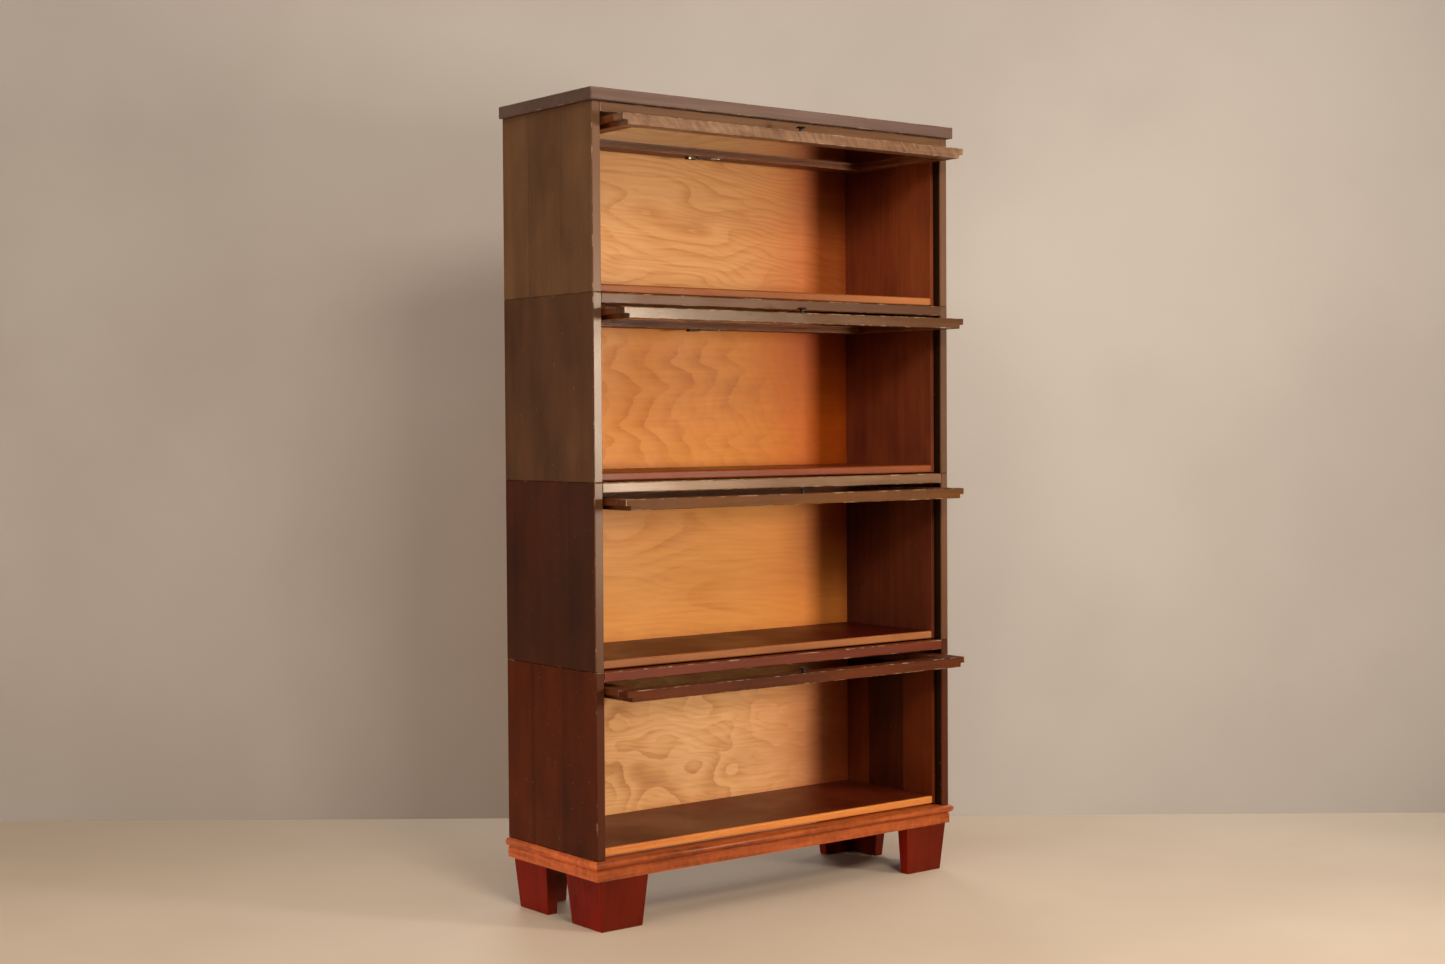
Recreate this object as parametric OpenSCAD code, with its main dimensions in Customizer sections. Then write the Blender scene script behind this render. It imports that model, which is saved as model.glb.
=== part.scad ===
// Stacking bookcase with four lift-and-slide glass doors, a cap and a base on four feet.
// Millimetres, +Z up, front towards -Y. Section 1 is the top one and section 4 the bottom one.

/* [Overall] */
// Outside width of the case sections
case_w = 864; // [780:1:950]
// Depth of the case sections, front edge to rear edge
case_d = 292; // [285:1:330]
// Height of one section
section_h = 335.5; // [320:0.5:350]
// Thickness of the cap board
cap_t = 22; // [18:1:30]
// How far the cap stands out past each side
cap_side_over = 8; // [4:1:12]
// How far the cap stands out past the front
cap_front_over = 10; // [5:1:15]

/* [Sides] */
// Full thickness of a side
side_t = 25.5; // [24:0.5:28]
// Depth of the front rabbet that takes the closed door
rabbet_d = 21; // [20.8:0.1:24]
// Width of the front rabbet, measured into the side
rabbet_step = 7; // [6:0.5:8]
// Width of the chamfer on the outer edges
ease = 1.5; // [0.5:0.25:2.5]

/* [Shelf, rail and back] */
// Thickness of the shelf
shelf_t = 15; // [12:0.5:18]
// Gap under the shelf
shelf_lift = 2; // [0.5:0.5:4]
// Radius on the front edge of the shelf
shelf_round = 3; // [1:0.5:5]
// Height of the front top rail
rail_h = 19; // [16:0.5:20]
// Thickness of the back panel
back_t = 8; // [5:0.5:10]
// Distance from the case's rear edge to the front of the back panel
back_set = 14; // [12:0.5:15]
// How far the back panel enters each side
back_lap = 9.5; // [6:0.5:12]

/* [Doors] */
// How far each open door stands out past the case
door_out = 67; // [60:1:75]
// Depth of a door while it is open, which is its height when closed
door_len = 313; // [290:1:314]
// Thickness of a door
door_t = 20; // [18:0.5:20.5]
// Thickness of the outer layer, whose ends are the sliding lips
lip_t = 12; // [10:0.5:13]
// Gap between a lip's end and the side
lip_gap = 2; // [1:0.25:3]
// How far the inner layer stops short of the lip's end
lip_step = 10; // [8:0.5:12]
// Distance from the section's top down to the door's outer face
door_drop = 28; // [26:0.5:30]
// Width of the stiles
stile_w = 30; // [26:1:40]
// Width of the bottom rail, which is the front one while the door is open
bottom_rail_w = 28; // [24:1:40]
// Width of the top rail
top_rail_w = 46; // [40:1:54]
// Thickness of the glass
glass_t = 3; // [2.5:0.5:4]
// Distance from the door's inner face to the glass
glass_set = 7; // [5:0.5:8]

/* [Knob and fittings] */
// Width of the knob's head
knob_d = 18; // [14:1:22]
// Height of the knob
knob_h = 11; // [9:0.5:14]
// Distance from the door's edge to the knob's axis
knob_set = 10; // [10:1:14]
// Diameter of a guide pin
pin_d = 6; // [5:0.5:6.5]
// Distance from the top rail's edge to a pin's axis
pin_set = 12; // [8:0.5:13]
// How far a pin stands out of the lip
pin_out = 7.5; // [5:0.5:8]
// Length of the steel plate
plate_w = 62; // [50:1:74]
// Width of the steel plate
plate_d = 18; // [12:1:22]

/* [Base] */
// Height of the base, floor to case
base_h = 130; // [110:1:150]
// Height of the base moulding
mould_h = 36; // [32:1:42]
// Depth of the base moulding, front to back
mould_d = 36; // [30:1:44]
// How far the rounded top member stands out past the case
nose_over = 7; // [4:0.5:9]
// Height of the rounded top member
nose_h = 15; // [12:0.5:18]
// How far the lower band stands out past the case
band_over = 1; // [0:0.5:2]
// Size of the cove between the two
cove_r = 3; // [2:0.5:4]

/* [Feet] */
// Width of a foot at the top, along the front
foot_w = 106; // [90:1:130]
// Width of a foot at the top, along the side
foot_d = 110; // [90:1:130]
// How far each outer face leans in, top to bottom
foot_taper = 8; // [3:0.5:12]
// Thickness of a foot's boards at the floor
foot_t = 20; // [16:1:26]
// Distance from the case's side to a foot's top
foot_side_in = 7; // [4:1:12]
// Distance from the case's front to a front foot's top
foot_front_in = 2; // [0:1:8]
// Distance from the case's rear to a rear foot's top
foot_rear_in = 7; // [2:1:12]

/* [Dowels] */
// Diameter of a locating dowel
dowel_d = 8; // [6:0.5:9]
// Length of a locating dowel
dowel_l = 24; // [16:1:28]

/* [Hidden] */
// Play between pieces that move past each other
run_gap = 0.4;
// Play around glued or dropped-in pieces
fit_gap = 0.1;
// Overshoot of a cut past the face that it opens, and overlap of shapes that are joined
cut = 1;
// Overshoot of a trimming outline past the faces that it leaves alone
trim_over = 10;
// Number of sections
sections = 4;
// The case's front plane, set so that the whole part is centred on Y
front_y = -(case_d - door_out) / 2;
// Half of the case's width
half_w = case_w / 2;
// Inner face of a side
inner_x = half_w - side_t;
// Wall of the front rabbet and of the slide groove
wall_x = inner_x + rabbet_step;
// Front face of the back panel
back_y = case_d - back_set;
// Gap between the step of the rabbet and the shelf's front edge
shelf_front_gap = 0.5;
// Depth of the square rear end of the shelf's outline
shelf_tail = 10;
// Half-width of a door's outer layer
lip_x = wall_x - lip_gap;
// Half-width of a door's inner layer
core_x = lip_x - lip_step;
// Front and rear edges of an open door
door_y0 = -door_out;
door_y1 = door_len - door_out;
// Inner edges of the door frame
open_x = core_x - stile_w;
open_y0 = door_y0 + bottom_rail_w;
open_y1 = door_y1 - top_rail_w;
// Lap of the glass into the frame
glass_lap = 8;
// Height of a guide pin's axis above the door's inner face
pin_z = door_t - lip_t / 2;
// Length of a guide pin inside the top rail
pin_in = 20;
// A pin's axis while the door is open
pin_y = door_y1 - pin_set;
// Gap between a pin's end and the wall of its groove
pin_end_gap = 1.5;
// Front end of the pin groove, which stops the door when it is pulled out
pin_groove_y0 = 3.2;
// Distance from the back panel to the rear end of the pin groove
pin_groove_rear = 8;
pin_groove_y1 = back_y - pin_groove_rear;
// Wall of the pin groove
pin_wall_x = lip_x + pin_out + pin_end_gap;
// Distance from the case's side to a dowel's axis
dowel_in = 11;
// Dowel positions
dowel_x = half_w - dowel_in;
dowel_y = [60, 230];
// Height of the knob's dome
knob_dome = 2.6;
// Angle between two points of the dome's outline
dome_step = 15;
// Outline of the knob below its dome, as [share of its radius, height]
knob_outline = [
    [0, 0], [0.5, 0], [0.5, 1.2], [0.36, 2.2],
    [0.34, knob_h - 5.2], [0.6, knob_h - 4.4], [0.96, knob_h - 3.4], [1, knob_h - knob_dome]
];
// Thickness of the small steel plate
plate_t = 1.6;
// Length, width and thickness of the dark arm beside the plate
arm_w = 20;
arm_d = 12;
arm_t = 4;
// Diameter of a screw head, and how far it stands out of the plate
screw_d = 5;
screw_out = 1;
// Distance of a screw from the plate's middle, as a share of the plate's length
screw_share = 0.36;
// Thickness of the board at the rear of the base
rear_rail_t = 20;

$fn = 48;

// Colours
wood = [0.42, 0.24, 0.14];
wood_dark = [0.30, 0.16, 0.09];
wood_inside = [0.72, 0.42, 0.22];
foot_wood = [0.36, 0.12, 0.07];
glass_tint = [0.75, 0.85, 0.85, 0.35];
steel = [0.62, 0.60, 0.56];
knob_metal = [0.12, 0.09, 0.07];

// Height of a section's bottom
function section_z(n) = base_h + (sections - n) * section_h;

// A box given by its two corners
module box(low, high) {
    translate(low) cube(high - low);
}

// Children drawn in a section's own frame: front plane at y = 0, bottom at z = 0
module in_section(n) {
    translate([0, front_y, section_z(n)]) children();
}

// Children drawn in a door's own frame: front plane at y = 0, inner face at z = 0
module in_door(n) {
    translate([0, front_y, section_z(n) + section_h - door_drop - door_t]) children();
}

// A profile drawn in Y and Z, extruded along X between two planes
module along_x(x0, x1) {
    translate([x0, 0, 0]) rotate([90, 0, 90]) linear_extrude(x1 - x0) children();
}

// A profile drawn in X and Z, extruded along Y between two planes
module along_y(y0, y1) {
    translate([0, y1, 0]) rotate([90, 0, 0]) linear_extrude(y1 - y0) children();
}

// A rectangle with all four corners cut at 45 degrees
module eased_rect(x0, y0, x1, y1, c) {
    polygon([
        [x0 + c, y0], [x1 - c, y0], [x1, y0 + c], [x1, y1 - c],
        [x1 - c, y1], [x0 + c, y1], [x0, y1 - c], [x0, y0 + c]
    ]);
}

// Plan of the right side, with the front rabbet and the back rabbet
module side_plan() {
    polygon([
        [wall_x + ease, 0], [half_w - ease, 0], [half_w, ease],
        [half_w, case_d - ease], [half_w - ease, case_d],
        [inner_x + back_lap, case_d], [inner_x + back_lap, back_y],
        [inner_x, back_y], [inner_x, rabbet_d],
        [wall_x, rabbet_d], [wall_x, ease]
    ]);
}

// Right side, in the section's frame
module side_shape() {
    door_z0 = section_h - door_drop - door_t;
    ledge_z = door_z0 + door_t - lip_t - run_gap;
    roof_z = door_z0 + door_t + run_gap;
    slot_z = door_z0 + pin_z;
    slot_h = pin_d + 2 * run_gap;
    difference() {
        intersection() {
            linear_extrude(section_h) side_plan();
            along_y(-cut, case_d + cut)
                eased_rect(inner_x - trim_over, 0, half_w, section_h, ease);
            along_x(inner_x - cut, half_w + cut)
                eased_rect(0, 0, case_d, section_h, ease);
        }
        // Groove for the door's lip
        box([inner_x - cut, rabbet_d - cut, ledge_z], [wall_x, back_y + cut, roof_z]);
        // Groove for the guide pin
        box([wall_x - cut, pin_groove_y0, slot_z - slot_h / 2],
            [pin_wall_x, pin_groove_y1, slot_z + slot_h / 2]);
        dowel_holes(0, -1);
        dowel_holes(section_h, 1);
    }
}

// Blind holes for the dowels in the right side, opening at height z; way is 1 for up and -1 for down
module dowel_holes(z, way) {
    for (y = dowel_y)
        translate([dowel_x, y, z + (way > 0 ? -dowel_l / 2 - fit_gap : -cut)])
            cylinder(d = dowel_d + fit_gap, h = dowel_l / 2 + fit_gap + cut);
}

module right_side(n) {
    color(wood) in_section(n) side_shape();
}

module left_side(n) {
    color(wood_dark) in_section(n) mirror([1, 0, 0]) side_shape();
}

module back_panel(n) {
    lap_x = inner_x + back_lap - fit_gap;
    color(wood_inside) in_section(n)
        box([-lap_x, back_y, fit_gap], [lap_x, back_y + back_t, section_h - fit_gap]);
}

// Section through the shelf, with a rounded front edge
module shelf_profile() {
    y0 = rabbet_d + shelf_front_gap;
    z0 = shelf_lift;
    hull() {
        translate([y0 + shelf_round, z0 + shelf_round]) circle(r = shelf_round);
        translate([y0 + shelf_round, z0 + shelf_t - shelf_round]) circle(r = shelf_round);
        translate([back_y - shelf_tail, z0]) square([shelf_tail, shelf_t]);
    }
}

module shelf(n) {
    color(wood_inside) in_section(n) along_x(-inner_x, inner_x) shelf_profile();
}

module front_rail(n) {
    color(wood) in_section(n)
        along_x(-wall_x, wall_x) eased_rect(0, section_h - rail_h, rabbet_d, section_h, ease);
}

// Cross-section of a whole door in X and Z, lips on the outer layer
module door_section() {
    c = ease / 2;
    polygon([
        [-core_x + c, 0], [core_x - c, 0], [core_x, c], [core_x, door_t - lip_t],
        [lip_x - c, door_t - lip_t], [lip_x, door_t - lip_t + c],
        [lip_x, door_t - c], [lip_x - c, door_t],
        [-lip_x + c, door_t], [-lip_x, door_t - c],
        [-lip_x, door_t - lip_t + c], [-lip_x + c, door_t - lip_t],
        [-core_x, door_t - lip_t], [-core_x, c]
    ]);
}

// Room for the glass in the frame
module glass_room() {
    x = open_x + glass_lap;
    box([-x, open_y0 - glass_lap, glass_set - fit_gap],
        [x, open_y1 + glass_lap, glass_set + glass_t + fit_gap]);
}

// The part of the door's outline between two planes, less the room for the glass
module door_slice(y0, y1) {
    difference() {
        intersection() {
            along_y(y0, y1) door_section();
            along_x(-half_w, half_w)
                eased_rect(door_y0, 0, door_y1, door_t, ease / 2);
        }
        glass_room();
    }
}

module bottom_rail(n) {
    color(wood) in_door(n) door_slice(door_y0, open_y0);
}

module top_rail(n) {
    color(wood) in_door(n) difference() {
        door_slice(open_y1, door_y1);
        for (side = [-1, 1])
            translate([side * (lip_x - pin_in / 2), pin_y, pin_z]) rotate([0, 90, 0])
                cylinder(d = pin_d + fit_gap, h = pin_in + 2 * cut, center = true);
    }
}

// Both stiles are cut from the same slice; side is 1 for the right one and -1 for the left one
module stile(n, side) {
    color(wood) in_door(n) intersection() {
        door_slice(open_y0, open_y1);
        translate([side * (open_x + half_w) / 2, 0, 0])
            box([-(half_w - open_x) / 2, open_y0, -cut], [(half_w - open_x) / 2, open_y1, door_t + cut]);
    }
}

module left_stile(n) {
    stile(n, -1);
}

module right_stile(n) {
    stile(n, 1);
}

module glass(n) {
    x = open_x + glass_lap - fit_gap;
    color(glass_tint) in_door(n)
        box([-x, open_y0 - glass_lap + fit_gap, glass_set],
            [x, open_y1 + glass_lap - fit_gap, glass_set + glass_t]);
}

// Half of the knob's profile: foot, neck and domed head
module knob_profile() {
    r = knob_d / 2;
    polygon(concat(
        [for (point = knob_outline) [r * point[0], point[1]]],
        [for (a = [dome_step : dome_step : 90]) [r * cos(a), knob_h - knob_dome * (1 - sin(a))]]
    ));
}

module knob(n) {
    color(knob_metal) in_door(n)
        translate([0, door_y0 + knob_set, door_t]) rotate_extrude() knob_profile();
}

// Two guide pins, the plate with its two screw heads, and the dark arm beside the plate
module fittings(n) {
    plate_y = open_y1 + (top_rail_w - plate_d) / 2;
    color(steel) in_door(n) {
        for (side = [-1, 1])
            translate([side * (lip_x - pin_in + (pin_in + pin_out) / 2), pin_y, pin_z]) rotate([0, 90, 0])
                cylinder(d = pin_d, h = pin_in + pin_out, center = true);
        difference() {
            union() {
                box([-plate_w / 2, plate_y, -plate_t], [plate_w / 2, plate_y + plate_d, 0]);
                box([-plate_w / 2 - arm_w, plate_y + plate_d - arm_d, -arm_t],
                    [-plate_w / 2 + cut, plate_y + plate_d, 0]);
            }
            for (side = [-1, 1])
                translate([side * plate_w * screw_share, plate_y + plate_d / 2, -plate_t - cut])
                    cylinder(d = screw_d + fit_gap, h = plate_t + 2 * cut);
        }
        for (side = [-1, 1])
            translate([side * plate_w * screw_share, plate_y + plate_d / 2, -plate_t - screw_out])
                cylinder(d = screw_d, h = plate_t + screw_out);
    }
}

module cap() {
    top_z = section_z(1) + section_h;
    x = half_w + cap_side_over;
    color(wood) translate([0, front_y, top_z]) difference() {
        intersection() {
            linear_extrude(cap_t) eased_rect(-x, -cap_front_over, x, case_d, ease);
            along_y(-cap_front_over - cut, case_d + cut) eased_rect(-x, 0, x, cap_t, ease);
            along_x(-x - cut, x + cut) eased_rect(-cap_front_over, 0, case_d, cap_t, ease);
        }
        dowel_holes(0, -1);
        mirror([1, 0, 0]) dowel_holes(0, -1);
    }
}

// Base moulding in section: flat band, cove and rounded top member; the outer face is towards -Y
module mould_profile() {
    r = nose_h / 2;
    difference() {
        union() {
            translate([-band_over, 0]) square([mould_d - nose_over + band_over, mould_h]);
            translate([-nose_over + r, mould_h - r]) circle(r = r);
            translate([-nose_over + r, mould_h - nose_h]) square([mould_d - r, nose_h]);
        }
        translate([-band_over, mould_h - nose_h - cove_r / 2]) circle(r = cove_r / 2);
    }
}

// Plan of the base's front piece, mitred at both corners
module front_mould_plan() {
    x = half_w + nose_over;
    polygon([
        [-x, -nose_over], [x, -nose_over],
        [x - mould_d, -nose_over + mould_d], [-x + mould_d, -nose_over + mould_d]
    ]);
}

module base_front_moulding() {
    x = half_w + nose_over;
    color(wood) translate([0, front_y, base_h - mould_h]) intersection() {
        along_x(-x, x) mould_profile();
        translate([0, 0, -cut]) linear_extrude(mould_h + 2 * cut) front_mould_plan();
    }
}

// Side piece of the base, right-hand one
module side_mould() {
    x = half_w + nose_over;
    difference() {
        intersection() {
            translate([half_w, 0, 0]) rotate([0, 0, 90]) along_x(-nose_over, case_d) mould_profile();
            translate([0, 0, -cut]) linear_extrude(mould_h + 2 * cut)
                polygon([
                    [x, -nose_over], [x, case_d],
                    [x - mould_d, case_d], [x - mould_d, -nose_over + mould_d]
                ]);
        }
        dowel_holes(mould_h, 1);
    }
}

module base_right_moulding() {
    color(wood) translate([0, front_y, base_h - mould_h]) side_mould();
}

module base_left_moulding() {
    color(wood_dark) translate([0, front_y, base_h - mould_h]) mirror([1, 0, 0]) side_mould();
}

module base_rear_rail() {
    x = half_w + nose_over - mould_d;
    color(wood_dark) translate([0, front_y, base_h - mould_h])
        box([-x, case_d - rear_rail_t, 0], [x, case_d, mould_h]);
}

// Block with a rectangular top and a smaller rectangular bottom, both centred the same way
module tapered_block(w, d, h, taper) {
    polyhedron(
        points = [
            [taper, taper, 0], [w - taper, taper, 0], [w - taper, d - taper, 0], [taper, d - taper, 0],
            [0, 0, h], [w, 0, h], [w, d, h], [0, d, h]
        ],
        faces = [
            [0, 1, 2, 3], [7, 6, 5, 4], [4, 5, 1, 0], [5, 6, 2, 1], [6, 7, 3, 2], [7, 4, 0, 3]
        ]
    );
}

// Foot made of two boards that meet at a corner, corner at the origin, boards towards +X and +Y
module foot_shape() {
    h = base_h - mould_h;
    inner = foot_taper + foot_t;
    difference() {
        tapered_block(foot_w, foot_d, h, foot_taper);
        box([inner, inner, -cut], [foot_w + cut, foot_d + cut, h + cut]);
    }
}

module foot_front_left() {
    color(foot_wood) translate([-half_w + foot_side_in, front_y + foot_front_in, 0])
        foot_shape();
}

module foot_front_right() {
    color(foot_wood) translate([half_w - foot_side_in, front_y + foot_front_in, 0])
        mirror([1, 0, 0]) foot_shape();
}

module foot_rear_left() {
    color(foot_wood) translate([-half_w + foot_side_in, front_y + case_d - foot_rear_in, 0])
        mirror([0, 1, 0]) foot_shape();
}

module foot_rear_right() {
    color(foot_wood) translate([half_w - foot_side_in, front_y + case_d - foot_rear_in, 0])
        mirror([1, 0, 0]) mirror([0, 1, 0]) foot_shape();
}

// Four dowels at each of the five joints, from the base up to the cap
module locating_dowels() {
    color(wood_inside)
        for (joint = [0 : sections], side = [-1, 1], y = dowel_y)
            translate([side * dowel_x, front_y + y, base_h + joint * section_h - dowel_l / 2])
                cylinder(d = dowel_d, h = dowel_l);
}

cap();
left_side(1);  // section_1_left_side
right_side(1);  // section_1_right_side
back_panel(1);  // section_1_back_panel
shelf(1);  // section_1_shelf
front_rail(1);  // section_1_front_rail
left_side(2);  // section_2_left_side
right_side(2);  // section_2_right_side
back_panel(2);  // section_2_back_panel
shelf(2);  // section_2_shelf
front_rail(2);  // section_2_front_rail
left_side(3);  // section_3_left_side
right_side(3);  // section_3_right_side
back_panel(3);  // section_3_back_panel
shelf(3);  // section_3_shelf
front_rail(3);  // section_3_front_rail
left_side(4);  // section_4_left_side
right_side(4);  // section_4_right_side
back_panel(4);  // section_4_back_panel
shelf(4);  // section_4_shelf
front_rail(4);  // section_4_front_rail
bottom_rail(1);  // door_1_bottom_rail
top_rail(1);  // door_1_top_rail
left_stile(1);  // door_1_left_stile
right_stile(1);  // door_1_right_stile
glass(1);  // door_1_glass
knob(1);  // door_1_knob
fittings(1);  // door_1_fittings
bottom_rail(2);  // door_2_bottom_rail
top_rail(2);  // door_2_top_rail
left_stile(2);  // door_2_left_stile
right_stile(2);  // door_2_right_stile
glass(2);  // door_2_glass
knob(2);  // door_2_knob
fittings(2);  // door_2_fittings
bottom_rail(3);  // door_3_bottom_rail
top_rail(3);  // door_3_top_rail
left_stile(3);  // door_3_left_stile
right_stile(3);  // door_3_right_stile
glass(3);  // door_3_glass
knob(3);  // door_3_knob
fittings(3);  // door_3_fittings
bottom_rail(4);  // door_4_bottom_rail
top_rail(4);  // door_4_top_rail
left_stile(4);  // door_4_left_stile
right_stile(4);  // door_4_right_stile
glass(4);  // door_4_glass
knob(4);  // door_4_knob
fittings(4);  // door_4_fittings
base_front_moulding();
base_left_moulding();
base_right_moulding();
base_rear_rail();
foot_front_left();
foot_front_right();
foot_rear_left();
foot_rear_right();
locating_dowels();
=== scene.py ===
"""Looks for the barrister bookcase: a procedural finish for every CAD part, soft edges, studio and camera."""

import math
import random

import bpy
from mathutils import Matrix, Vector


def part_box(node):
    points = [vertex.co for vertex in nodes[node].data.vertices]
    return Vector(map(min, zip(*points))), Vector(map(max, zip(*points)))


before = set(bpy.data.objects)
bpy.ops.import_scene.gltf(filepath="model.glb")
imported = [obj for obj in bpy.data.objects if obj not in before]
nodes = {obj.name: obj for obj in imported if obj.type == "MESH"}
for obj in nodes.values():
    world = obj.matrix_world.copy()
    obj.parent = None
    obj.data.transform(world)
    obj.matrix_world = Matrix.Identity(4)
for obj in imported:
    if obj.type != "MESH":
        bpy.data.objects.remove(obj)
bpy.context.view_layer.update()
scene = bpy.context.scene


# ---------------------------------------------------------------- shader building


def linear(code):
    """The linear colour of an sRGB code such as "a0522d"."""
    parts = [int(code[i : i + 2], 16) / 255 for i in (0, 2, 4)]
    return tuple(
        c / 12.92 if c <= 0.04045 else ((c + 0.055) / 1.055) ** 2.4 for c in parts
    ) + (1.0,)


def grey(level):
    return (level, level, level, 1)


class Shader:
    """One material, with short names for its nodes. place, x, y and z are the shaded point, in metres."""

    def __init__(self, name):
        self.material = bpy.data.materials.new(name)
        self.material.use_nodes = True
        self.tree = self.material.node_tree
        self.tree.nodes.clear()
        self.place = self.add("ShaderNodeTexCoord").outputs["Object"]
        split = self.add("ShaderNodeSeparateXYZ", {"Vector": self.place})
        self.x, self.y, self.z = split.outputs

    def feed(self, socket, value):
        """Links value to socket, or sets it there if it is a number or a colour."""
        if isinstance(value, bpy.types.NodeSocket):
            self.tree.links.new(value, socket)
        else:
            socket.default_value = value

    def add(self, kind, inputs=None, **settings):
        node = self.tree.nodes.new(kind)
        for key, value in settings.items():
            setattr(node, key, value)
        for key, value in (inputs or {}).items():
            self.feed(node.inputs[key], value)
        return node

    def calc(self, operation, *values, clamp=False):
        node = self.add("ShaderNodeMath", operation=operation, use_clamp=clamp)
        for socket, value in zip(node.inputs, values):
            self.feed(socket, value)
        return node.outputs[0]

    def total(self, *terms):
        """The sum of terms, each a number, a socket, or (socket, weight)."""
        result = None
        for term in terms:
            if isinstance(term, tuple):
                term = self.calc("MULTIPLY", *term)
            result = term if result is None else self.calc("ADD", result, term)
        return result

    def product(self, *factors):
        result = factors[0]
        for factor in factors[1:]:
            result = self.calc("MULTIPLY", result, factor)
        return result

    def remap(self, value, low, high, new_low=0.0, new_high=1.0, kind="SMOOTHSTEP"):
        """value from low to high made new_low to new_high, and held there outside that range."""
        inputs = {0: value, 1: low, 2: high, 3: new_low, 4: new_high}
        return self.add("ShaderNodeMapRange", inputs, interpolation_type=kind).outputs[0]

    def stretch(self, scale, offset=(0.0, 0.0, 0.0), source=None):
        """The point, or source, scaled and moved. One number is a scale for all three axes."""
        if not isinstance(scale, tuple):
            scale = (scale,) * 3
        inputs = {"Vector": source or self.place, "Location": offset, "Scale": scale}
        return self.add("ShaderNodeMapping", inputs).outputs[0]

    def noise(self, where, detail=2.0, roughness=0.5, distortion=0.0):
        inputs = {
            "Vector": where,
            "Scale": 1.0,
            "Detail": detail,
            "Roughness": roughness,
            "Distortion": distortion,
        }
        return self.add("ShaderNodeTexNoise", inputs).outputs["Fac"]

    def bands(self, value, kind, marks):
        node = self.add("ShaderNodeValToRGB", {"Fac": value})
        node.color_ramp.interpolation = kind
        elements = node.color_ramp.elements
        while len(elements) < len(marks):
            elements.new(0.5)
        for element, (position, color) in zip(elements, marks):
            element.position = position
            element.color = color
        return node.outputs["Color"]

    def ramp(self, value, stops):
        """A colour for value, blended between (position, colour code) stops."""
        return self.bands(value, "LINEAR", [(position, linear(code)) for position, code in stops])

    def steps(self, value, stops):
        """A grey level for value, constant from one (position, level) stop to the next."""
        return self.bands(value, "CONSTANT", [(position, grey(level)) for position, level in stops])

    def mix(self, share, first, second, blend="MIX"):
        node = self.add("ShaderNodeMix", data_type="RGBA", blend_type=blend)
        node.clamp_factor = True
        for index, value in ((0, share), (6, first), (7, second)):
            self.feed(node.inputs[index], value)
        return node.outputs[2]

    def edge_distance(self, low, high):
        """How far a surface point is from the nearest edge of the box between low and high."""
        gaps = []
        for axis, a, b in zip((self.x, self.y, self.z), low, high):
            near = self.calc("SUBTRACT", axis, a)
            far = self.calc("SUBTRACT", b, axis)
            gaps.append(self.calc("MINIMUM", near, far))
        small = self.calc("MINIMUM", gaps[0], gaps[1])
        large = self.calc("MAXIMUM", gaps[0], gaps[1])
        return self.calc("MAXIMUM", small, self.calc("MINIMUM", large, gaps[2]))

    def principled(self, color, roughness, height, depth=0.0004, strength=0.4, **sockets):
        """The surface shader. height makes the bump. Further names are inputs, such as Coat_Weight."""
        bump = {"Height": height, "Distance": depth, "Strength": strength}
        normal = self.add("ShaderNodeBump", bump).outputs["Normal"]
        inputs = {"Base Color": color, "Roughness": roughness, "Normal": normal}
        inputs.update({key.replace("_", " "): value for key, value in sockets.items()})
        return self.add("ShaderNodeBsdfPrincipled", inputs).outputs[0]

    def done(self, surface):
        self.add("ShaderNodeOutputMaterial", {"Surface": surface})
        return self.material


AXES = {"X": 0, "Y": 1, "Z": 2}


def along(grain, length, across):
    """Scale for a texture that runs along the grain axis."""
    scale = [across] * 3
    scale[AXES[grain]] = length
    return tuple(scale)


def offset_of(seed):
    """A place in the noise that belongs to seed."""
    rng = random.Random(seed)
    return tuple(rng.uniform(-40, 40) for _ in range(3))


# Scales of the grain, per metre
DRIFT_ALONG = 2.2
DRIFT_ACROSS = 5.0
FIBRE_ALONG = 22.0
FIBRE_ACROSS = 700.0
FEATHER_SCALE = (26.0, 170.0, 170.0)

BLOTCH_SHARE = 0.5  # scale of blotches along the grain, as a share of their scale across it
STREAK_SHARE = 0.05  # the same for streaks
FEATHER = 0.22  # how ragged a growth ring is, as a share of the gap between rings
RING_PEAK = 0.94  # where between two rings the dark is strongest, as a share of that gap


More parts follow.
